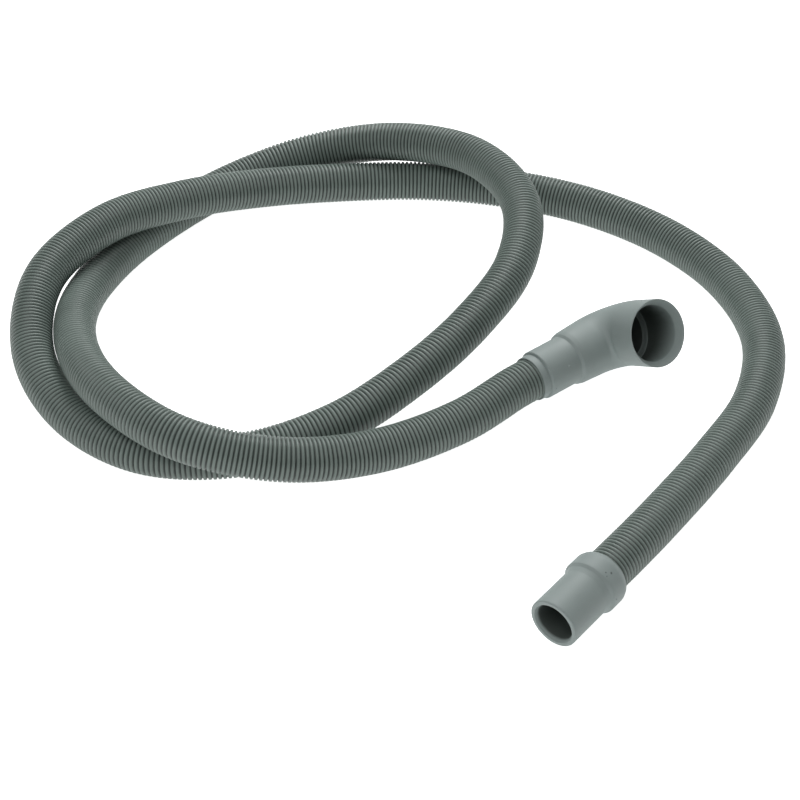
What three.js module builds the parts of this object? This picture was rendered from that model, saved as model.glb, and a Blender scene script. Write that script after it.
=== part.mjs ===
// A drain hose: a ribbed tube that lies in loose loops, with a straight cuff on one end and an angled cuff
// on the other. Millimetres, +Z up, the floor at z = 0.

import * as THREE from 'three';

// Driving dimensions of the hose
const HOSE_OD = 23.5;
const HOSE_BORE = 20;
const HOSE_SIDES = 12;
const HOSE_STEPS = 80;

// Driving dimensions of both cuffs: the gap to the hose's end face and the thin lip that grips its end
const FACE_GAP = 0.3;
const LIP_WALL = 1;
const CUFF_SIDES = 40;

// Driving dimensions of the straight cuff: a thick collar round the hose, a short taper and a plain barrel
// with a small funnel in its mouth
const STRAIGHT_LENGTH = 42.3;
const STRAIGHT_BORE = 20;
const STRAIGHT_WALL = 3.35;
const COLLAR_WALL = 3.4;
const COLLAR_LENGTH = 12;
const COLLAR_ROUND = 6;
const TAPER_LENGTH = 4.5;
const STRAIGHT_RIM_ROUND = 1;
const STRAIGHT_FUNNEL_WALL = 1.1;
const STRAIGHT_FUNNEL_DEPTH = 2.5;

// Driving dimensions of the angled cuff: a thin ring and a socket round the hose, a body that widens round
// the bend, and a mouth with a funnelled bore. The inside of the bend keeps a little off the bend's centre.
const RING_LENGTH = 4;
const RING_CHAMFER = 0.4;
const RING_CHAMFER_LENGTH = 1;
const RING_RAMP_LENGTH = 0.8;
const SOCKET_WALL = 2.2;
const SOCKET_LENGTH = 25.8;
const STEP_LENGTH = 4;
const BODY_BORE = 24;
const BODY_WALL = 3.7;
const ELBOW_WALL = 2.8;
const NECK_LENGTH = 8;
const NECK_TAPER_LENGTH = 8;
const MOUTH_BORE = 31.2;
const MOUTH_WALL = 3.2;
const MOUTH_RIM = 0.6;
const MOUTH_BORE_DEPTH = 23.4;
const MOUTH_FUNNEL_DEPTH = 4.5;
const HOSE_LEG = 64;
const MOUTH_LEG = 37.2;
const BEND_INSIDE = 1.1;

// Facets of the cuffs' rounded edges, and the longest facet along the angled cuff
const COLLAR_ROUND_STEPS = 4;
const RIM_ROUND_STEPS = 3;
const BEND_STEP = 3.5;

// The soft shoulders: how far along each one its middle edge lies, and how much of the change is done there
const TAPER_MIDDLE = 0.5;
const TAPER_MIDDLE_FALL = 0.4;
const STEP_MIDDLE = 0.35;
const STEP_MIDDLE_RISE = 0.65;

// How the angled cuff lies: its hose leg is level and heads this far round from +X, and its mouth looks up
// from the floor by this much
const ANGLED_HEADING = 38.2;
const MOUTH_TILT = 33;

// The straight cuff is level too
const STRAIGHT_HEADING = 230.3;

// The route of the hose, from the angled cuff to the straight one
const ROUTE = [
  [73, -20.1, 17.2],
  [64.4, -26.9, 17.1],
  [34.5, -52.1, 15.7],
  [-12, -78, 17.8],
  [-60.5, -92, 25.7],
  [-111, -86, 34.7],
  [-151.3, -53, 35.4],
  [-175, -6.5, 27.5],
  [-181, 44.5, 17.4],
  [-166.4, 93.8, 12.6],
  [-136.5, 136.8, 12.4],
  [-98, 171.5, 14.8],
  [-50, 190, 22.8],
  [1.5, 186, 33],
  [47.5, 162, 38.4],
  [73.1, 117.1, 37.2],
  [68.4, 65.6, 31],
  [42, 20, 24.2],
  [7.5, -19.5, 18.6],
  [-33, -54, 14.7],
  [-81, -74.5, 12.5],
  [-133.5, -72.5, 12.1],
  [-177, -42.5, 12.8],
  [-202, 2.5, 19.4],
  [-200.5, 53, 31.3],
  [-170, 94.6, 37.4],
  [-128, 125.7, 32.2],
  [-83, 151, 22.7],
  [-33, 168, 14.8],
  [18.5, 173, 12.2],
  [71, 165, 11.9],
  [119.6, 146, 11.9],
  [162.5, 114.5, 11.9],
  [193.3, 72.1, 11.9],
  [206.5, 20.5, 11.9],
  [195.3, -30.7, 11.9],
  [168.2, -75.4, 12.2],
  [137.7, -117.8, 13.8],
  [118.4, -143.2, 15.3],
  [102.4, -162.4, 15.3],
];

// Materials
const HOSE_GREY = new THREE.MeshStandardMaterial({ color: 0x6f7875, roughness: 0.55, metalness: 0 });
const STRAIGHT_GREY = new THREE.MeshStandardMaterial({ color: 0x88908e, roughness: 0.6, metalness: 0 });
const ANGLED_GREY = new THREE.MeshStandardMaterial({ color: 0x868f8d, roughness: 0.6, metalness: 0 });

function radians(degrees) {
  return (degrees * Math.PI) / 180;
}

// A level unit direction, as an angle round from +X
function levelDirection(heading) {
  return new THREE.Vector3(Math.cos(radians(heading)), Math.sin(radians(heading)), 0);
}

// A quarter circle of a profile, between two corners of the square that holds it. The points are
// [distance along the cuff, radius].
function quarterRound(from, to, steps, startsAlong) {
  const points = [];
  for (let i = 0; i <= steps; i += 1) {
    const angle = (i / steps) * (Math.PI / 2);
    const first = Math.sin(angle);
    const second = 1 - Math.cos(angle);
    const along = startsAlong ? first : second;
    const across = startsAlong ? second : first;
    points.push([from[0] + (to[0] - from[0]) * along, from[1] + (to[1] - from[1]) * across]);
  }
  return points;
}

// The middle edge of a soft shoulder, between the profile points where it starts and ends
function between(start, end, alongShare, acrossShare) {
  return [start[0] + (end[0] - start[0]) * alongShare, start[1] + (end[1] - start[1]) * acrossShare];
}

// The same profile with no stretch along the cuff longer than the step
function subdivide(profile, step) {
  const points = [];
  profile.forEach((point, i) => {
    const next = profile[(i + 1) % profile.length];
    const parts = Math.max(1, Math.ceil(Math.abs(next[0] - point[0]) / step));
    for (let k = 0; k < parts; k += 1) {
      const t = k / parts;
      points.push([point[0] + (next[0] - point[0]) * t, point[1] + (next[1] - point[1]) * t]);
    }
  });
  return points;
}

// A closed profile of [distance, radius] points turned round a line that may bend. frameAt gives the line's
// point and two directions across it at a distance.
function turnedSolid(profile, frameAt, sides) {
  const positions = [];
  profile.forEach(([distance, radius]) => {
    const { point, across, over } = frameAt(distance);
    for (let j = 0; j < sides; j += 1) {
      const angle = (j / sides) * 2 * Math.PI;
      const corner = point
        .clone()
        .addScaledVector(across, radius * Math.cos(angle))
        .addScaledVector(over, radius * Math.sin(angle));
      positions.push(corner.x, corner.y, corner.z);
    }
  });
  const indices = [];
  for (let i = 0; i < profile.length; i += 1) {
    const ring = i * sides;
    const nextRing = ((i + 1) % profile.length) * sides;
    for (let j = 0; j < sides; j += 1) {
      const k = (j + 1) % sides;
      indices.push(ring + j, ring + k, nextRing + k);
      indices.push(ring + j, nextRing + k, nextRing + j);
    }
  }
  const geometry = new THREE.BufferGeometry();
  geometry.setAttribute('position', new THREE.Float32BufferAttribute(positions, 3));
  geometry.setIndex(indices);
  geometry.computeVertexNormals();
  return geometry;
}

function named(name, geometry, material) {
  const mesh = new THREE.Mesh(geometry, material);
  mesh.name = name;
  return mesh;
}

function routeCurve() {
  const points = ROUTE.map(([x, y, z]) => new THREE.Vector3(x, y, z));
  return new THREE.CatmullRomCurve3(points, false, 'centripetal');
}

function corrugatedHose() {
  const section = new THREE.Shape();
  for (let i = 0; i < HOSE_SIDES; i += 1) {
    const angle = (i / HOSE_SIDES) * 2 * Math.PI;
    const x = (HOSE_OD / 2) * Math.cos(angle);
    const y = (HOSE_OD / 2) * Math.sin(angle);
    if (i === 0) section.moveTo(x, y);
    else section.lineTo(x, y);
  }
  section.closePath();
  const geometry = new THREE.ExtrudeGeometry(section, { steps: HOSE_STEPS, extrudePath: routeCurve() });
  return named('corrugated_hose', geometry, HOSE_GREY);
}

// The straight cuff starts at the hose's end face and runs to its open mouth
function straightCuff() {
  const end = new THREE.Vector3(...ROUTE[ROUTE.length - 1]);
  const along = levelDirection(STRAIGHT_HEADING);
  const across = levelDirection(STRAIGHT_HEADING + 90);
  const over = new THREE.Vector3(0, 0, 1);
  const start = end.addScaledVector(along, FACE_GAP);
  const frameAt = (distance) => ({ point: start.clone().addScaledVector(along, distance), across, over });

  const lipRadius = HOSE_OD / 2 + LIP_WALL;
  const collarRadius = HOSE_OD / 2 + COLLAR_WALL;
  const boreRadius = STRAIGHT_BORE / 2;
  const barrelRadius = boreRadius + STRAIGHT_WALL;
  const mouth = STRAIGHT_LENGTH;
  const taperEnd = COLLAR_LENGTH + TAPER_LENGTH;
  const profile = [
    [0, HOSE_BORE / 2],
    ...quarterRound([0, lipRadius], [COLLAR_ROUND, collarRadius], COLLAR_ROUND_STEPS, false),
    [COLLAR_LENGTH, collarRadius],
    between([COLLAR_LENGTH, collarRadius], [taperEnd, barrelRadius], TAPER_MIDDLE, TAPER_MIDDLE_FALL),
    [taperEnd, barrelRadius],
    ...quarterRound(
      [mouth - STRAIGHT_RIM_ROUND, barrelRadius],
      [mouth, barrelRadius - STRAIGHT_RIM_ROUND],
      RIM_ROUND_STEPS,
      true,
    ),
    [mouth, boreRadius + STRAIGHT_FUNNEL_WALL],
    [mouth - STRAIGHT_FUNNEL_DEPTH, boreRadius],
    [taperEnd, boreRadius],
  ];
  return named('straight_cuff', turnedSolid(profile, frameAt, CUFF_SIDES), STRAIGHT_GREY);
}

// The middle line of the angled cuff: a level leg from the hose, a quarter turn and the leg to the mouth
function angledLine() {
  const along = levelDirection(ANGLED_HEADING);
  const side = levelDirection(ANGLED_HEADING - 90);
  const up = new THREE.Vector3(0, 0, 1);
  const out = side
    .clone()
    .multiplyScalar(Math.cos(radians(MOUTH_TILT)))
    .addScaledVector(up, Math.sin(radians(MOUTH_TILT)));
  const over = along.clone().cross(out);
  const start = new THREE.Vector3(...ROUTE[0]).addScaledVector(along, FACE_GAP);
  const bendRadius = MOUTH_BORE / 2 + ELBOW_WALL + BEND_INSIDE;
  const firstLength = HOSE_LEG - bendRadius;
  const bendLength = (bendRadius * Math.PI) / 2;
  const lastLength = MOUTH_LEG - bendRadius;

  const frameAt = (distance) => {
    const inBend = Math.min(Math.max(distance - firstLength, 0), bendLength);
    const turn = inBend / bendRadius;
    const before = Math.min(distance, firstLength) + bendRadius * Math.sin(turn);
    const after = Math.max(distance - firstLength - bendLength, 0) + bendRadius * (1 - Math.cos(turn));
    const point = start.clone().addScaledVector(along, before).addScaledVector(out, after);
    const across = out
      .clone()
      .multiplyScalar(Math.cos(turn))
      .addScaledVector(along, -Math.sin(turn));
    return { point, across, over };
  };
  const bendEnd = firstLength + bendLength;
  return { frameAt, bendEnd, mouth: bendEnd + lastLength };
}

function angledCuff() {
  const { frameAt, bendEnd, mouth } = angledLine();
  const lipRadius = HOSE_OD / 2 + LIP_WALL;
  const socketRadius = HOSE_OD / 2 + SOCKET_WALL;
  const innerRadius = BODY_BORE / 2;
  const bodyRadius = innerRadius + BODY_WALL;
  const boreRadius = MOUTH_BORE / 2;
  const elbowRadius = boreRadius + ELBOW_WALL;
  const mouthRadius = boreRadius + MOUTH_WALL;
  const bodyStart = SOCKET_LENGTH + STEP_LENGTH;
  const shoulder = mouth - MOUTH_BORE_DEPTH;
  const profile = [
    [0, HOSE_BORE / 2],
    [0, lipRadius - RING_CHAMFER],
    [RING_CHAMFER_LENGTH, lipRadius],
    [RING_LENGTH, lipRadius],
    [RING_LENGTH + RING_RAMP_LENGTH, socketRadius],
    [SOCKET_LENGTH, socketRadius],
    between([SOCKET_LENGTH, socketRadius], [bodyStart, bodyRadius], STEP_MIDDLE, STEP_MIDDLE_RISE),
    [bodyStart, bodyRadius],
    [bendEnd, elbowRadius],
    [mouth, mouthRadius],
    [mouth, mouthRadius - MOUTH_RIM],
    [mouth - MOUTH_FUNNEL_DEPTH, boreRadius],
    [shoulder, boreRadius],
    [shoulder, innerRadius],
    [NECK_LENGTH + NECK_TAPER_LENGTH, innerRadius],
    [NECK_LENGTH, HOSE_BORE / 2],
  ];
  const geometry = turnedSolid(subdivide(profile, BEND_STEP), frameAt, CUFF_SIDES);
  return named('angled_cuff', geometry, ANGLED_GREY);
}

const part = new THREE.Group();
part.name = 'drain_hose';
part.add(corrugatedHose());
part.add(straightCuff());
part.add(angledCuff());

export default part;
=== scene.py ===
"""A washing machine's drain hose on a pale studio floor: a ribbed tube in loose loops, with a straight soft
cuff on one end and a wider angled one on the other. Metres, +Z up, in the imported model's frame."""

import math

import bmesh
import bpy
from mathutils import Matrix, Vector


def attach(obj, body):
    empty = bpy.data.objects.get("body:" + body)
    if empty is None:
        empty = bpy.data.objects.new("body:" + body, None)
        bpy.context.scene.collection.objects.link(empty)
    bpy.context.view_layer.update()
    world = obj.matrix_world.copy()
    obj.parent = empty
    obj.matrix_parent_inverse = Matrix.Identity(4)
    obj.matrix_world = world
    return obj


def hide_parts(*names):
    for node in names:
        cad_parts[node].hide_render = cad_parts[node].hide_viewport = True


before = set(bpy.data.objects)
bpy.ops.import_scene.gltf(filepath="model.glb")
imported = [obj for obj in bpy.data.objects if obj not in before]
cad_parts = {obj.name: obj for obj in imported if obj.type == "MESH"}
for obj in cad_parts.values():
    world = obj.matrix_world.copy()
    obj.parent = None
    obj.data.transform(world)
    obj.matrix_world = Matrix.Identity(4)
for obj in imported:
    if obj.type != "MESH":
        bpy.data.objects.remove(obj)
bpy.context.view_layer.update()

MM = 0.001
UP = Vector((0, 0, 1))
SAME_PLACE = 0.001 * MM

# Camera: it looks along +Y and down, at the photograph's angle
CAMERA_PLACE = Vector((0.002, -0.7955, 0.7003))
CAMERA_DOWN_DEG = 42.0
CAMERA_LENS_MM = 85
CAMERA_SENSOR_MM = 36
CAMERA_REACH = 100

# The hose
HOSE_DIAMETER = 23.5 * MM
HOSE_BORE = 20 * MM
GROOVE_DEPTH = 0.95 * MM
CREST_SHARE = 0.46
WALL_SHARE = 0.16
RINGS_PER_RIB = 4
HOSE_SIDES = 28
BORE_RINGS = 210
RIB_UNEVENNESS = 0.03 * MM
RIB_RISE = 0.11 * MM
RIB_SEED = 7
LINE_STEPS = 20

# The ribs bunch up where the hose is bent hardest: (distance along the hose, pitch of the ribs there)
RIB_SPACING = [
    (0 * MM, 2.34 * MM),
    (180 * MM, 2.33 * MM),
    (300 * MM, 2.50 * MM),
    (560 * MM, 2.48 * MM),
    (640 * MM, 2.33 * MM),
    (730 * MM, 2.16 * MM),
    (820 * MM, 2.41 * MM),
    (905 * MM, 2.58 * MM),
    (990 * MM, 2.45 * MM),
    (1130 * MM, 2.58 * MM),
    (1180 * MM, 2.27 * MM),
    (1260 * MM, 2.00 * MM),
    (1350 * MM, 2.43 * MM),
    (1460 * MM, 2.50 * MM),
    (1580 * MM, 2.32 * MM),
    (1720 * MM, 2.14 * MM),
    (1830 * MM, 2.38 * MM),
    (1900 * MM, 2.47 * MM),
    (1950 * MM, 2.32 * MM),
    (2000 * MM, 2.32 * MM),
]

# What both cuffs share: the gap from the route's end to a cuff's face, and the seat that the hose enters
FACE_GAP = 0.3 * MM
SEAT_DEPTH = 12.5 * MM
SEAT_CLEARANCE = 0.1 * MM
LIP_WALL = 1 * MM
CUFF_SIDES = 128
BEND_STEP = 1.5 * MM

# Rounded corners: turns below the least one stay sharp, and a round takes at most this share of a side
LEAST_TURN_DEG = 1
ROUND_STEP_DEG = 12
LEAST_ROUND_STEPS = 2
ROUND_ROOM = 0.49

# Radii of the cuffs' rounded corners, and how much of a soft step is done at its start
SEAT_ROUND = 0.2 * MM
FACE_ROUND = 0.3 * MM
INNER_RIM_ROUND = 0.4 * MM
FUNNEL_ROUND = 1.5 * MM
STEP_SHARE = 0.35

# The straight cuff
STRAIGHT_HEADING_DEG = 230.3
STRAIGHT_LENGTH = 42.3 * MM
STRAIGHT_RADIUS = 13.35 * MM
STRAIGHT_BORE_RADIUS = 10 * MM
COLLAR_RADIUS = 15.15 * MM
COLLAR_LENGTH = 12 * MM
COLLAR_ROUND = 6 * MM
COLLAR_EDGE_ROUND = 1 * MM
TAPER_LENGTH = 4.5 * MM
TAPER_MIDDLE_ROUND = 1.2 * MM
TAPER_END_ROUND = 4 * MM
STRAIGHT_RIM_ROUND = 0.9 * MM
STRAIGHT_FUNNEL_RADIUS = 11.1 * MM
STRAIGHT_FUNNEL_DEPTH = 2.5 * MM
# The straight bore's painted shade: how deep it starts, and how far it takes to grow full
STRAIGHT_CLEAR_DEPTH = 1.4 * MM
STRAIGHT_SHADE_REACH = 1 * MM

# The round onto the collar: (share of its length, share of its rise, radius of the corner there)
COLLAR_RISE = [
    (0.12, 0.55, 2 * MM),
    (0.6, 1, 4 * MM),
]

# The angled cuff
ANGLED_HEADING_DEG = 38.2
MOUTH_TILT_DEG = 33
HOSE_LEG = 64 * MM
MOUTH_LEG = 37.2 * MM
BEND_RADIUS = 19.5 * MM
RING_RADIUS = 12.75 * MM
RING_LENGTH = 4 * MM
RING_FACE_ROUND = 0.5 * MM
RING_EDGE_ROUND = 0.25 * MM
CREASE_RADIUS = 12.5 * MM
CREASE_START = 0.2 * MM
CREASE_LENGTH = 0.8 * MM
CREASE_RISE = 0.4 * MM
CREASE_ROUND = 0.2 * MM
SOCKET_RADIUS = 13.95 * MM
SOCKET_LENGTH = 25.8 * MM
SOCKET_ROUND = 0.8 * MM
STEP_LENGTH = 4 * MM
STEP_MIDDLE_ROUND = 1 * MM
STEP_END_ROUND = 3 * MM
BODY_RADIUS = 15.7 * MM
BODY_BORE_RADIUS = 12 * MM
NECK_END = 20 * MM
NECK_ROUND = 1 * MM
ELBOW_RADIUS = 18.4 * MM
MOUTH_RADIUS = 18.8 * MM
MOUTH_RIM = 0.6 * MM
MOUTH_RIM_ROUND = 0.5 * MM
MOUTH_BORE_RADIUS = 15.6 * MM
MOUTH_BORE_DEPTH = 23.4 * MM
SHOULDER_ROUND = 0.6 * MM
MOUTH_FUNNEL_DEPTH = 4.5 * MM
# The angled bore's painted shade: how deep it starts, and how far it takes to grow full
MOUTH_CLEAR_DEPTH = 4 * MM
MOUTH_SHADE_REACH = 16 * MM
PIP_PLACE = (0.0943, -0.0179, 0.0251)
PIP_RADIUS = 0.65 * MM

# Painted light on the angled bore's shoulder: how near to it that is, and the share of the shade left there
LEDGE_EDGE = 0.4 * MM
LEDGE_SHADE = 0.35

# Small dark nicks in the cuffs' skins: (place, size). A nick fades between two shares of its size.
NICKS = [
    ((0.1041, -0.1736, 0.0279), 0.9 * MM),
    ((0.1013, -0.1742, 0.0289), 0.6 * MM),
    ((0.1018, -0.1760, 0.0283), 0.6 * MM),
    ((0.1068, -0.1807, 0.0169), 0.7 * MM),
    ((0.0872, -0.0267, 0.0165), 0.5 * MM),
]
NICK_FADE_START = 0.4
NICK_FADE_END = 0.8
NICK_NOISE_SCALE = 1500.0
NICK_STRENGTH = 0.75
NOISE_MEAN = 0.5

# The route of the hose's middle line, from the angled cuff to the straight one
ROUTE = [
    (0.073, -0.0201, 0.0172),
    (0.0644, -0.0269, 0.0171),
    (0.0345, -0.0521, 0.0157),
    (-0.012, -0.078, 0.0178),
    (-0.0605, -0.092, 0.0257),
    (-0.111, -0.086, 0.0347),
    (-0.1513, -0.053, 0.0354),
    (-0.175, -0.0065, 0.0275),
    (-0.181, 0.0445, 0.0174),
    (-0.1664, 0.0938, 0.0126),
    (-0.1365, 0.1368, 0.0124),
    (-0.098, 0.1715, 0.0148),
    (-0.05, 0.19, 0.0228),
    (0.0015, 0.186, 0.033),
    (0.0475, 0.162, 0.0384),
    (0.0731, 0.1171, 0.0372),
    (0.0684, 0.0656, 0.031),
    (0.042, 0.02, 0.0242),
    (0.0075, -0.0195, 0.0186),
    (-0.033, -0.054, 0.0147),
    (-0.081, -0.0745, 0.0125),
    (-0.1335, -0.0725, 0.0121),
    (-0.177, -0.0425, 0.0128),
    (-0.202, 0.0025, 0.0194),
    (-0.2005, 0.053, 0.0313),
    (-0.17, 0.0946, 0.0374),
    (-0.128, 0.1257, 0.0322),
    (-0.083, 0.151, 0.0227),
    (-0.033, 0.168, 0.0148),
    (0.0185, 0.173, 0.0122),
    (0.071, 0.165, 0.0119),
    (0.1196, 0.146, 0.0119),
    (0.1625, 0.1145, 0.0119),
    (0.1933, 0.0721, 0.0119),
    (0.2065, 0.0205, 0.0119),
    (0.1953, -0.0307, 0.0119),
    (0.1682, -0.0754, 0.0122),
    (0.1377, -0.1178, 0.0138),
    (0.1184, -0.1432, 0.0153),
    (0.1024, -0.1624, 0.0153),
]

# Colours, as linear light
HOSE_CREST = (0.178, 0.222, 0.202, 1)
# The grooves' colour, much darker than the crests': painted shade
HOSE_GROOVE_PAINTED_SHADE = (0.038, 0.052, 0.045, 1)
CUFF_GREY = (0.276, 0.325, 0.316, 1)
# The colour that the cuffs' bores are darkened towards: painted shade
CUFF_BORE_PAINTED_SHADE = (0.066, 0.080, 0.074, 1)
CUFF_NICK = (0.055, 0.062, 0.060, 1)
FLOOR_WHITE = (0.93, 0.93, 0.93, 1)

# The moulded skin: its two noises, and the blotches that give the lowest and the highest roughness
BLOTCH_DETAIL = 4
BLOTCH_ROUGHNESS = 0.55
GRAIN_DETAIL = 2
GRAIN_ROUGHNESS = 0.6
SMOOTH_BLOTCH = 0.3
ROUGH_BLOTCH = 0.7

# How each material wears it
HOSE_LOOK = {
    "skin": {
        "Blotch Scale": 30.0,
        "Blotch Strength": 0.22,
        "Grain Scale": 1400.0,
        "Roughness Low": 0.38,
        "Roughness High": 0.55,
    },
    "bump": {"Strength": 0.25, "Distance": 0.1 * MM},
}
CUFF_LOOK = {
    "skin": {
        "Blotch Scale": 55.0,
        "Blotch Strength": 0.10,
        "Grain Scale": 2200.0,
        "Roughness Low": 0.52,
        "Roughness High": 0.66,
    },
    "bump": {"Strength": 0.2, "Distance": 0.08 * MM},
}


# Small tools

class Net:
    """Lays nodes in a tree. An input takes a value or another node's socket."""

    def __init__(self, tree):
        self.tree = tree

    def feed(self, socket, value):
        if isinstance(value, bpy.types.NodeSocket):
            self.tree.links.new(value, socket)
        else:
            socket.default_value = value

    def node(self, kind, inputs=None, **settings):
        made = self.tree.nodes.new(kind)
        for key, value in settings.items():
            setattr(made, key, value)
        for key, value in (inputs or {}).items():
            self.feed(made.inputs[key], value)
        return made

    def math(self, operation, *values):
        made = self.node("ShaderNodeMath", operation=operation)
        for socket, value in zip(made.inputs, values):
            self.feed(socket, value)
        return made.outputs[0]

    def vector(self, operation, *values):
        made = self.node("ShaderNodeVectorMath", operation=operation)
        for socket, value in zip(made.inputs, values):
            self.feed(socket, value)
        return made.outputs[0]

    def scaled(self, vector, amount):
        made = self.node("ShaderNodeVectorMath", {0: vector, "Scale": amount}, operation="SCALE")
        return made.outputs[0]

    def mixed(self, share, first, second):
        """A mix node takes numbers in its sockets 2 and 3, and gives one from its socket 0."""
        return self.node("ShaderNodeMix", {0: share, 2: first, 3: second}).outputs[0]

    def mixed_colour(self, share, first, second):
        """A mix node takes colours in its sockets 6 and 7, and gives one from its socket 2."""
        return self.node("ShaderNodeMix", {0: share, 6: first, 7: second}, data_type="RGBA").outputs[2]


def add_sockets(tree, direction, sockets):
    """Gives a node group its named sockets: (name, kind)."""
    for name, kind in sockets:
        tree.interface.new_socket(name, in_out=direction, socket_type=kind)


def new_piece(name, mesh):
    piece = bpy.data.objects.new(name, mesh)
    bpy.context.scene.collection.objects.link(piece)
    return piece


def level_direction(heading_deg):
    return Vector((math.cos(math.radians(heading_deg)), math.sin(math.radians(heading_deg)), 0))


# Camera

def make_camera():
    data = bpy.data.cameras.new("camera")
    data.lens = CAMERA_LENS_MM
    data.sensor_width = CAMERA_SENSOR_MM
    data.clip_end = CAMERA_REACH
    camera = new_piece("camera", data)
    camera.location = CAMERA_PLACE
    camera.rotation_euler = (math.radians(90 - CAMERA_DOWN_DEG), 0, 0)
    bpy.context.scene.camera = camera


# The hose's middle line

def blend_by_time(a, b, time_a, time_b, time):
    return (a * (time_b - time) + b * (time - time_a)) / (time_b - time_a)


def smooth_line(points, steps):
    """A centripetal Catmull-Rom curve through the points."""
    ends = [points[0] * 2 - points[1], *points, points[-1] * 2 - points[-2]]
    line = []
    for four in zip(ends, ends[1:], ends[2:], ends[3:]):
        times = [0]
        for here, there in zip(four, four[1:]):
            times.append(times[-1] + math.sqrt((there - here).length))
        for step in range(steps):
            time = times[1] + (times[2] - times[1]) * step / steps
            row = [
                blend_by_time(four[i], four[i + 1], times[i], times[i + 1], time) for i in range(3)
            ]
            pair = [
                blend_by_time(row[i], row[i + 1], times[i], times[i + 2], time) for i in range(2)
            ]
            line.append(blend_by_time(pair[0], pair[1], times[1], times[2], time))
    line.append(points[-1])
    return line


def hose_line():
    """The middle line between the cuffs' faces, run on straight into both cuffs' seats."""
    line = smooth_line([Vector(point) for point in ROUTE], LINE_STEPS)
    reach = SEAT_DEPTH + FACE_GAP - SEAT_CLEARANCE
    into_angled = level_direction(ANGLED_HEADING_DEG) * reach
    into_straight = level_direction(STRAIGHT_HEADING_DEG) * reach
    return [line[0] + into_angled, *line, line[-1] + into_straight]


def line_length(line):
    return sum((there - here).length for here, there in zip(line, line[1:]))


def spacing_at(distance):
    """The pitch of the ribs at a distance along the hose."""
    for (near, near_pitch), (far, far_pitch) in zip(RIB_SPACING, RIB_SPACING[1:]):
        if distance <= far:
            return near_pitch + (far_pitch - near_pitch) * (distance - near) / (far - near)
    return RIB_SPACING[-1][1]


def rib_places(length):
    """How far along the hose each rib starts, with the last one ending at its far end."""
    places = [0]
    while places[-1] < length:
        places.append(places[-1] + spacing_at(places[-1]))
    return [place * length / places[-1] for place in places]


def points_along(line, distances):
    """The points of the line at growing distances along it."""
    points = []
    walked, i = 0, 0
    for distance in distances:
        while i < len(line) - 2 and walked + (line[i + 1] - line[i]).length < distance:
            walked += (line[i + 1] - line[i]).length
            i += 1
        share = min((distance - walked) / (line[i + 1] - line[i]).length, 1)
        points.append(line[i].lerp(line[i + 1], share))
    return points


# The ribbed tube, as geometry nodes

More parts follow.
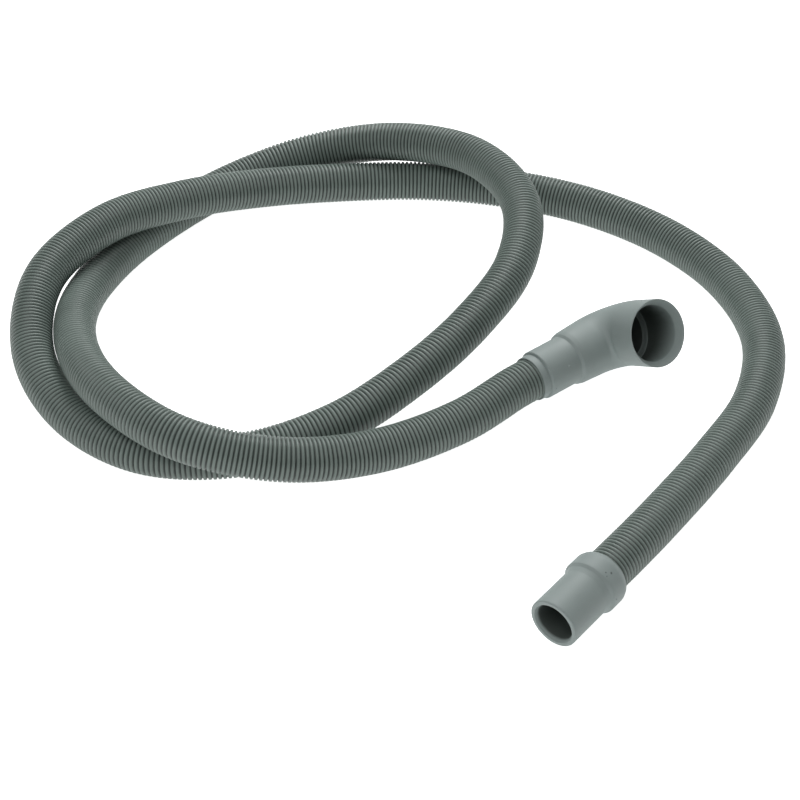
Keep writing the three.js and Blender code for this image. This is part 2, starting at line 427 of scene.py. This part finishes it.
def ribbed_tube_tree():
    """A hollow tube with square ribs round it, along a curve whose points are where the ribs start. One grid
    of points is rolled up: its rows are the outside's rings, crest and groove in turn, and then the bore's
    rings back to the start."""
    tree = bpy.data.node_groups.new("Ribbed tube", "GeometryNodeTree")
    add_sockets(tree, "INPUT", [
        ("Middle Line", "NodeSocketGeometry"),
        ("Ribs", "NodeSocketInt"),
        ("Sides", "NodeSocketInt"),
        ("Crest Radius", "NodeSocketFloat"),
        ("Groove Depth", "NodeSocketFloat"),
        ("Crest Share", "NodeSocketFloat"),
        ("Wall Share", "NodeSocketFloat"),
        ("Bore Radius", "NodeSocketFloat"),
        ("Bore Rings", "NodeSocketInt"),
        ("Unevenness", "NodeSocketFloat"),
        ("Seed", "NodeSocketInt"),
        ("Material", "NodeSocketMaterial"),
    ])
    add_sockets(tree, "OUTPUT", [("Tube", "NodeSocketGeometry")])
    net = Net(tree)
    given = net.node("NodeGroupInput").outputs

    line = net.node("GeometryNodeSetCurveNormal", {"Curve": given["Middle Line"]}, mode="Z_UP").outputs[0]
    length = net.node("GeometryNodeCurveLength", {"Curve": line}).outputs["Length"]
    outer_rings = net.math("MULTIPLY_ADD", given["Ribs"], RINGS_PER_RIB, 1)
    all_rings = net.math("ADD", outer_rings, given["Bore Rings"])
    columns = net.math("ADD", given["Sides"], 1)
    grid = net.node("GeometryNodeMeshGrid", {
        "Vertices X": net.math("ADD", all_rings, 1),
        "Vertices Y": columns,
    }).outputs["Mesh"]

    # Which ring and which side of it a point is
    index = net.node("GeometryNodeInputIndex").outputs[0]
    row = net.math("FLOOR", net.math("DIVIDE", index, columns))
    side = net.math("SUBTRACT", index, net.math("MULTIPLY", row, columns))
    turn = net.math("DIVIDE", side, given["Sides"])
    ring = net.math("MODULO", row, all_rings)
    rib = net.math("FLOOR", net.math("DIVIDE", ring, RINGS_PER_RIB))
    phase = net.math("MODULO", ring, RINGS_PER_RIB)
    outside = net.math("LESS_THAN", ring, net.math("SUBTRACT", outer_rings, 0.5))

    # How far along the line the ring is. Its phase is 0 at the crest's start, 1 at its end, 2 at the groove's
    # start and 3 at its end, and it is compared halfway between them.
    groove_share = net.math(
        "SUBTRACT", net.math("SUBTRACT", 1, given["Crest Share"]),
        net.math("MULTIPLY", 2, given["Wall Share"]),
    )
    past_crest = net.math("MULTIPLY", net.math("GREATER_THAN", phase, 0.5), given["Crest Share"])
    in_groove = net.math("GREATER_THAN", phase, 1.5)
    past_wall = net.math("MULTIPLY", in_groove, given["Wall Share"])
    past_groove = net.math("MULTIPLY", net.math("GREATER_THAN", phase, 2.5), groove_share)
    share = net.math("ADD", past_crest, net.math("ADD", past_wall, past_groove))
    so_far = net.node("GeometryNodeSplineParameter").outputs["Length"]
    this_start, next_start = [
        net.node(
            "GeometryNodeSampleIndex", {"Geometry": line, "Value": so_far, "Index": number}, clamp=True
        ).outputs[0]
        for number in (rib, net.math("ADD", rib, 1))
    ]
    outer_place = net.mixed(share, this_start, next_start)
    bore_share = net.math(
        "DIVIDE", net.math("SUBTRACT", ring, outer_rings), net.math("SUBTRACT", given["Bore Rings"], 1)
    )
    bore_place = net.math("MULTIPLY", length, net.math("SUBTRACT", 1, bore_share))
    place = net.mixed(outside, bore_place, outer_place)

    # The ring's radius, with a chance from -1 to 1 for every rib
    chance = net.node("FunctionNodeRandomValue", {
        "ID": rib, "Seed": given["Seed"], 2: -1.0, 3: 1.0,
    }).outputs[1]
    crest = net.math("MULTIPLY_ADD", chance, given["Unevenness"], given["Crest Radius"])
    outer_radius = net.math(
        "SUBTRACT", crest, net.math("MULTIPLY", in_groove, given["Groove Depth"])
    )
    radius = net.mixed(outside, given["Bore Radius"], outer_radius)

    # The point itself
    sample = net.node(
        "GeometryNodeSampleCurve", {"Curves": line, "Length": place}, mode="LENGTH", use_all_curves=True
    ).outputs
    angle = net.math("MULTIPLY", turn, 2 * math.pi)
    over = net.vector("CROSS_PRODUCT", sample["Tangent"], sample["Normal"])
    offset = net.vector(
        "ADD",
        net.scaled(sample["Normal"], net.math("COSINE", angle)),
        net.scaled(over, net.math("SINE", angle)),
    )
    point = net.vector("ADD", sample["Position"], net.scaled(offset, radius))

    # What the material reads: the groove mask, for painted shade, and a map along and round the tube
    groove_shade_mask = net.math("MULTIPLY", in_groove, outside)
    masked = net.node("GeometryNodeStoreNamedAttribute", {
        "Geometry": grid, "Name": "groove", "Value": groove_shade_mask,
    }, data_type="FLOAT", domain="POINT").outputs[0]
    capture = net.node("GeometryNodeCaptureAttribute", {"Geometry": masked}, domain="POINT")
    capture.capture_items.new("VECTOR", "Surface")
    surface = net.node("ShaderNodeCombineXYZ", {"X": place, "Y": turn}).outputs[0]
    net.feed(capture.inputs["Surface"], surface)
    mapped = net.node("GeometryNodeStoreNamedAttribute", {
        "Geometry": capture.outputs["Geometry"], "Name": "surface", "Value": capture.outputs["Surface"],
    }, data_type="FLOAT2", domain="CORNER").outputs[0]

    rolled = net.node("GeometryNodeSetPosition", {"Geometry": mapped, "Position": point}).outputs[0]
    closed = net.node("GeometryNodeMergeByDistance", {"Geometry": rolled, "Distance": SAME_PLACE}).outputs[0]
    smooth = net.node("GeometryNodeSetShadeSmooth", {"Geometry": closed}).outputs[0]
    real = net.node("GeometryNodeRealizeInstances", {"Geometry": smooth}).outputs[0]
    finished = net.node("GeometryNodeSetMaterial", {"Geometry": real, "Material": given["Material"]})
    net.node("NodeGroupOutput", {"Tube": finished.outputs[0]})
    return tree


def socket_identifier(tree, name):
    return next(item.identifier for item in tree.interface.items_tree if item.name == name)


def make_hose(line, material):
    data = bpy.data.curves.new("hose_middle_line", "CURVE")
    data.dimensions = "3D"
    spline = data.splines.new("POLY")
    rib_starts = points_along(line, rib_places(line_length(line)))
    spline.points.add(len(rib_starts) - 1)
    for spline_point, place in zip(spline.points, rib_starts):
        spline_point.co = (*place, 1)
    guide = new_piece("hose_middle_line", data)

    tree = ribbed_tube_tree()
    modifier = guide.modifiers.new("Ribbed tube", "NODES")
    modifier.node_group = tree
    for name, value in {
        "Ribs": len(rib_starts) - 1,
        "Sides": HOSE_SIDES,
        "Crest Radius": HOSE_DIAMETER / 2 + RIB_RISE,
        "Groove Depth": GROOVE_DEPTH,
        "Crest Share": CREST_SHARE,
        "Wall Share": WALL_SHARE,
        "Bore Radius": HOSE_BORE / 2,
        "Bore Rings": BORE_RINGS,
        "Unevenness": RIB_UNEVENNESS,
        "Seed": RIB_SEED,
        "Material": material,
    }.items():
        modifier[socket_identifier(tree, name)] = value
    guide.update_tag()
    finished = guide.evaluated_get(bpy.context.evaluated_depsgraph_get())
    hose = new_piece("ribbed_hose", bpy.data.meshes.new_from_object(finished))
    bpy.data.objects.remove(guide)
    return hose


# The cuffs: a closed profile turned round a straight or bent line

def rounded_profile(corners):
    """Closed (distance, radius) points with each corner rounded. A corner is (distance, radius, round)."""
    places = [Vector(corner[:2]) for corner in corners]
    points = []
    for i, (distance, radius, rounding) in enumerate(corners):
        corner = places[i]
        back = places[i - 1] - corner
        ahead = places[(i + 1) % len(places)] - corner
        turn = math.pi - back.angle(ahead)
        if rounding == 0 or turn < math.radians(LEAST_TURN_DEG):
            points.append((distance, radius))
            continue
        room = min(back.length, ahead.length) * ROUND_ROOM
        reach = min(rounding * math.tan(turn / 2), room)
        arc = reach / math.tan(turn / 2)
        start, end = corner + back.normalized() * reach, corner + ahead.normalized() * reach
        inward = (back.normalized() + ahead.normalized()).normalized()
        centre = corner + inward * (arc / math.cos(turn / 2))
        steps = max(LEAST_ROUND_STEPS, round(math.degrees(turn) / ROUND_STEP_DEG))
        for step in range(steps + 1):
            share = step / steps
            first, last = start - centre, end - centre
            weight_first = math.sin((1 - share) * turn) / math.sin(turn)
            weight_last = math.sin(share * turn) / math.sin(turn)
            point = centre + first * weight_first + last * weight_last
            points.append((point.x, point.y))
    return points


def subdivided(profile, step):
    """The same profile with no stretch along the cuff longer than the step."""
    points = []
    for here, there in zip(profile, profile[1:] + profile[:1]):
        parts = max(1, math.ceil(abs(there[0] - here[0]) / step))
        for k in range(parts):
            share = k / parts
            points.append((
                here[0] + (there[0] - here[0]) * share,
                here[1] + (there[1] - here[1]) * share,
            ))
    return points


def turned_mesh(name, profile, frame_at, shades):
    """The profile turned round its line. shades says how far each profile point is darkened with the bore's
    painted shade.
    """
    vertices, faces, shade_values = [], [], []
    for (distance, radius), shade in zip(profile, shades):
        place, across, over = frame_at(distance)
        shade_values += [shade] * CUFF_SIDES
        for j in range(CUFF_SIDES):
            angle = j / CUFF_SIDES * 2 * math.pi
            vertices.append(place + across * (radius * math.cos(angle)) + over * (radius * math.sin(angle)))
    for i in range(len(profile)):
        ring = i * CUFF_SIDES
        next_ring = (i + 1) % len(profile) * CUFF_SIDES
        for j in range(CUFF_SIDES):
            k = (j + 1) % CUFF_SIDES
            faces.append((ring + j, ring + k, next_ring + k, next_ring + j))
    mesh = bpy.data.meshes.new(name)
    mesh.from_pydata(vertices, [], faces)
    # The point attribute inside carries the bores' painted shade to the material
    mesh.attributes.new("inside", "FLOAT", "POINT").data.foreach_set("value", shade_values)
    mesh.shade_smooth()
    return mesh


def add_pip(mesh, place, radius):
    """A small round pip left by the mould."""
    work = bmesh.new()
    work.from_mesh(mesh)
    bmesh.ops.create_icosphere(work, subdivisions=2, radius=radius, matrix=Matrix.Translation(place))
    for face in work.faces:
        face.smooth = True
    work.to_mesh(mesh)
    work.free()


def straight_frame(distance):
    along = level_direction(STRAIGHT_HEADING_DEG)
    place = Vector(ROUTE[-1]) + along * (FACE_GAP + distance)
    return place, level_direction(STRAIGHT_HEADING_DEG + 90), UP


def angled_frame(distance):
    """The middle line of the angled cuff: a level leg from the hose, a quarter turn and the mouth's leg."""
    along = level_direction(ANGLED_HEADING_DEG)
    tilt = math.radians(MOUTH_TILT_DEG)
    out = level_direction(ANGLED_HEADING_DEG - 90) * math.cos(tilt) + UP * math.sin(tilt)
    first = HOSE_LEG - BEND_RADIUS
    bend = BEND_RADIUS * math.pi / 2
    turn = min(max(distance - first, 0), bend) / BEND_RADIUS
    before = min(distance, first) + BEND_RADIUS * math.sin(turn)
    after = max(distance - first - bend, 0) + BEND_RADIUS * (1 - math.cos(turn))
    place = Vector(ROUTE[0]) + along * (FACE_GAP + before) + out * after
    across = out * math.cos(turn) - along * math.sin(turn)
    return place, across, along.cross(out)


def angled_length():
    return HOSE_LEG - BEND_RADIUS + BEND_RADIUS * math.pi / 2 + MOUTH_LEG - BEND_RADIUS


def painted_bore_shades(profile, mouth, clear_depth, reach, ledge=None):
    """How far each profile point is darkened with the bore's painted shade. It is 0 outside and down to the
    clear depth, and grows to 1 over the reach. A ledge at this distance in the bore gets less of it, as
    painted light."""
    rim = max(i for i, (distance, radius) in enumerate(profile) if distance > mouth - SAME_PLACE)
    shades = [0] * (rim + 1)
    for distance, radius in profile[rim + 1:]:
        shade = min(max((mouth - distance - clear_depth) / reach, 0), 1)
        # The shoulder is painted lighter: painted light
        if ledge is not None and abs(distance - ledge) < LEDGE_EDGE:
            shade *= LEDGE_SHADE
        shades.append(shade)
    return shades


def seat_corners():
    """The hose's seat inside a cuff, from its stop back to the cuff's face."""
    seat = HOSE_DIAMETER / 2 + SEAT_CLEARANCE
    return [
        (SEAT_DEPTH, HOSE_BORE / 2, SEAT_ROUND),
        (SEAT_DEPTH, seat, 0),
        (0, seat, SEAT_ROUND),
    ]


def make_straight_cuff(material):
    lip = HOSE_DIAMETER / 2 + LIP_WALL
    taper_middle = STRAIGHT_RADIUS + STEP_SHARE * (COLLAR_RADIUS - STRAIGHT_RADIUS)
    corners = [
        (0, lip, FACE_ROUND),
        *((along * COLLAR_ROUND, lip + rise * (COLLAR_RADIUS - lip), rounding)
          for along, rise, rounding in COLLAR_RISE),
        (COLLAR_LENGTH, COLLAR_RADIUS, COLLAR_EDGE_ROUND),
        (COLLAR_LENGTH + STEP_SHARE * TAPER_LENGTH, taper_middle, TAPER_MIDDLE_ROUND),
        (COLLAR_LENGTH + TAPER_LENGTH, STRAIGHT_RADIUS, TAPER_END_ROUND),
        (STRAIGHT_LENGTH, STRAIGHT_RADIUS, STRAIGHT_RIM_ROUND),
        (STRAIGHT_LENGTH, STRAIGHT_FUNNEL_RADIUS, INNER_RIM_ROUND),
        (STRAIGHT_LENGTH - STRAIGHT_FUNNEL_DEPTH, STRAIGHT_BORE_RADIUS, FUNNEL_ROUND),
        *seat_corners(),
    ]
    profile = subdivided(rounded_profile(corners), BEND_STEP)
    shades = painted_bore_shades(profile, STRAIGHT_LENGTH, STRAIGHT_CLEAR_DEPTH, STRAIGHT_SHADE_REACH)
    mesh = turned_mesh("straight_cuff", profile, straight_frame, shades)
    mesh.materials.append(material)
    return new_piece("straight_end_cuff", mesh)


def make_angled_cuff(material):
    mouth = angled_length()
    shoulder = mouth - MOUTH_BORE_DEPTH
    crease_end = RING_LENGTH + CREASE_LENGTH
    step_middle = BODY_RADIUS - STEP_SHARE * (BODY_RADIUS - SOCKET_RADIUS)
    corners = [
        (0, RING_RADIUS, RING_FACE_ROUND),
        (RING_LENGTH, RING_RADIUS, RING_EDGE_ROUND),
        (RING_LENGTH + CREASE_START, CREASE_RADIUS, CREASE_ROUND),
        (crease_end, CREASE_RADIUS, CREASE_ROUND),
        (crease_end + CREASE_RISE, SOCKET_RADIUS, SOCKET_ROUND),
        (SOCKET_LENGTH, SOCKET_RADIUS, SOCKET_ROUND),
        (SOCKET_LENGTH + STEP_SHARE * STEP_LENGTH, step_middle, STEP_MIDDLE_ROUND),
        (SOCKET_LENGTH + STEP_LENGTH, BODY_RADIUS, STEP_END_ROUND),
        (mouth - MOUTH_LEG + BEND_RADIUS, ELBOW_RADIUS, 0),
        (mouth, MOUTH_RADIUS, MOUTH_RIM_ROUND),
        (mouth, MOUTH_RADIUS - MOUTH_RIM, INNER_RIM_ROUND),
        (mouth - MOUTH_FUNNEL_DEPTH, MOUTH_BORE_RADIUS, FUNNEL_ROUND),
        (shoulder, MOUTH_BORE_RADIUS, SHOULDER_ROUND),
        (shoulder, BODY_BORE_RADIUS, SHOULDER_ROUND),
        (NECK_END, BODY_BORE_RADIUS, NECK_ROUND),
        *seat_corners(),
    ]
    profile = subdivided(rounded_profile(corners), BEND_STEP)
    shades = painted_bore_shades(profile, mouth, MOUTH_CLEAR_DEPTH, MOUTH_SHADE_REACH, shoulder)
    mesh = turned_mesh("angled_cuff", profile, angled_frame, shades)
    add_pip(mesh, PIP_PLACE, PIP_RADIUS)
    mesh.materials.append(material)
    return new_piece("angled_end_cuff", mesh)


# Finishes

def moulded_skin_group():
    """The skin that every moulded piece here has: soft blotches of tone and roughness, and a fine grain."""
    tree = bpy.data.node_groups.new("Moulded skin", "ShaderNodeTree")
    add_sockets(tree, "INPUT", [
        ("Colour", "NodeSocketColor"),
        ("Blotch Scale", "NodeSocketFloat"),
        ("Blotch Strength", "NodeSocketFloat"),
        ("Grain Scale", "NodeSocketFloat"),
        ("Roughness Low", "NodeSocketFloat"),
        ("Roughness High", "NodeSocketFloat"),
    ])
    add_sockets(tree, "OUTPUT", [
        ("Colour", "NodeSocketColor"),
        ("Roughness", "NodeSocketFloat"),
        ("Height", "NodeSocketFloat"),
    ])
    net = Net(tree)
    given = net.node("NodeGroupInput").outputs
    place = net.node("ShaderNodeTexCoord").outputs["Object"]
    blotch = net.node("ShaderNodeTexNoise", {
        "Vector": place, "Scale": given["Blotch Scale"],
        "Detail": BLOTCH_DETAIL, "Roughness": BLOTCH_ROUGHNESS,
    }).outputs[0]
    grain = net.node("ShaderNodeTexNoise", {
        "Vector": place, "Scale": given["Grain Scale"],
        "Detail": GRAIN_DETAIL, "Roughness": GRAIN_ROUGHNESS,
    }).outputs[0]
    centred = net.math("SUBTRACT", net.math("MULTIPLY", blotch, 2), 1)
    tone = net.math("MULTIPLY_ADD", centred, given["Blotch Strength"], 1)
    coloured = net.scaled(given["Colour"], tone)
    roughness = net.node("ShaderNodeMapRange", {
        "Value": blotch, "From Min": SMOOTH_BLOTCH, "From Max": ROUGH_BLOTCH,
        "To Min": given["Roughness Low"], "To Max": given["Roughness High"],
    }).outputs[0]
    net.node("NodeGroupOutput", {"Colour": coloured, "Roughness": roughness, "Height": grain})
    return tree


def new_material(name):
    material = bpy.data.materials.new(name)
    material.use_nodes = True
    net = Net(material.node_tree)
    shader = material.node_tree.nodes["Principled BSDF"]
    return material, net, shader


def put_on_skin(net, shader, group, colour, look):
    """Feeds the skin's colour, roughness and grain to the shader."""
    made = net.node("ShaderNodeGroup", {"Colour": colour, **look["skin"]}, node_tree=group).outputs
    net.feed(shader.inputs["Base Color"], made["Colour"])
    net.feed(shader.inputs["Roughness"], made["Roughness"])
    bump = net.node("ShaderNodeBump", {"Height": made["Height"], **look["bump"]}).outputs[0]
    net.feed(shader.inputs["Normal"], bump)


def hose_material(group):
    """Satin grey plastic: the crests keep the plastic's colour and the grooves get a much darker one, painted
    shade.
    """
    material, net, shader = new_material("hose_plastic")
    # The groove mask darkens the grooves with painted shade
    groove = net.node("ShaderNodeAttribute", attribute_name="groove").outputs["Fac"]
    put_on_skin(net, shader, group, net.mixed_colour(groove, HOSE_CREST, HOSE_GROOVE_PAINTED_SHADE), HOSE_LOOK)
    return material


def nick_mask(net):
    """1 in the middle of a nick, fading to 0 at its ragged edge."""
    place = net.node("ShaderNodeTexCoord").outputs["Object"]
    ragged = net.node("ShaderNodeTexNoise", {"Vector": place, "Scale": NICK_NOISE_SCALE}).outputs[0]
    mask = 0.0
    for nick_place, size in NICKS:
        apart = net.node("ShaderNodeVectorMath", {0: place, 1: nick_place}, operation="DISTANCE")
        near = net.node("ShaderNodeMapRange", {
            "Value": net.math("MULTIPLY", apart.outputs["Value"], net.math("ADD", ragged, 1 - NOISE_MEAN)),
            "From Min": NICK_FADE_START * size, "From Max": NICK_FADE_END * size,
            "To Min": NICK_STRENGTH, "To Max": 0.0,
        }).outputs[0]
        mask = net.math("MAXIMUM", mask, near)
    return mask


def cuff_material(group):
    """Soft moulded rubber with a dull satin skin, a few nicks, and painted shade that darkens the bores
    inwards.
    """
    material, net, shader = new_material("cuff_rubber")
    # The inside attribute mixes the bores' painted shade into the colour
    inside = net.node("ShaderNodeAttribute", attribute_name="inside").outputs["Fac"]
    shaded = net.mixed_colour(inside, CUFF_GREY, CUFF_BORE_PAINTED_SHADE)
    nicked = net.mixed_colour(nick_mask(net), shaded, CUFF_NICK)
    put_on_skin(net, shader, group, nicked, CUFF_LOOK)
    return material


# The studio

FLOOR_HALF = 6.0
FLOOR_DROP = 0.1 * MM
FLOOR_GLOW = 0.55
FLOOR_SEEN_GLOW = 0.4
FLOOR_ROUGHNESS = 0.9
FLOOR_SHINE = 0.1
WORLD_GLOW = 0.16

# The lights, which face the origin: (name, place, size in metres, power in watts)
LIGHTS = [
    ("key_light", (0.25, 1.5, 1.4), 1.4, 33),
    ("fill_light", (-0.5, -0.7, 1.6), 1.6, 12),
]


def make_floor():
    mesh = bpy.data.meshes.new("studio_floor")
    corners = [(-1, -1), (1, -1), (1, 1), (-1, 1)]
    mesh.from_pydata([(x * FLOOR_HALF, y * FLOOR_HALF, -FLOOR_DROP) for x, y in corners], [], [(0, 1, 2, 3)])
    floor = new_piece("studio_floor", mesh)
    material, net, shader = new_material("studio_floor")
    net.feed(shader.inputs["Base Color"], FLOOR_WHITE)
    shader.inputs["Roughness"].default_value = FLOOR_ROUGHNESS
    shader.inputs["Specular IOR Level"].default_value = FLOOR_SHINE
    shader.inputs["Emission Color"].default_value = (1, 1, 1, 1)
    seen = net.node("ShaderNodeLightPath").outputs["Is Camera Ray"]
    glow = net.math("MULTIPLY_ADD", seen, FLOOR_SEEN_GLOW, FLOOR_GLOW)
    net.feed(shader.inputs["Emission Strength"], glow)
    mesh.materials.append(material)


def make_light(name, place, size, power):
    data = bpy.data.lights.new(name, "AREA")
    data.shape = "DISK"
    data.size = size
    data.energy = power
    light = new_piece(name, data)
    light.location = place
    light.rotation_euler = (-Vector(place)).to_track_quat("-Z", "Y").to_euler()


def make_studio():
    make_floor()
    for light in LIGHTS:
        make_light(*light)
    world = bpy.data.worlds.new("studio")
    world.use_nodes = True
    background = world.node_tree.nodes["Background"]
    background.inputs["Color"].default_value = (1, 1, 1, 1)
    background.inputs["Strength"].default_value = WORLD_GLOW
    bpy.context.scene.world = world
    bpy.context.scene.view_settings.view_transform = "Standard"


# Putting it together

make_camera()
middle_line = hose_line()
skin_group = moulded_skin_group()
hose_plastic = hose_material(skin_group)
cuff_rubber = cuff_material(skin_group)
hose = make_hose(middle_line, hose_plastic)
straight_cuff = make_straight_cuff(cuff_rubber)
angled_cuff = make_angled_cuff(cuff_rubber)
make_studio()

for piece, node, slot in (
    (hose, "corrugated_hose", "hose_plastic"),
    (straight_cuff, "straight_cuff", "cuff_rubber"),
    (angled_cuff, "angled_cuff", "cuff_rubber"),
):
    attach(piece, "root")
    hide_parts(node)
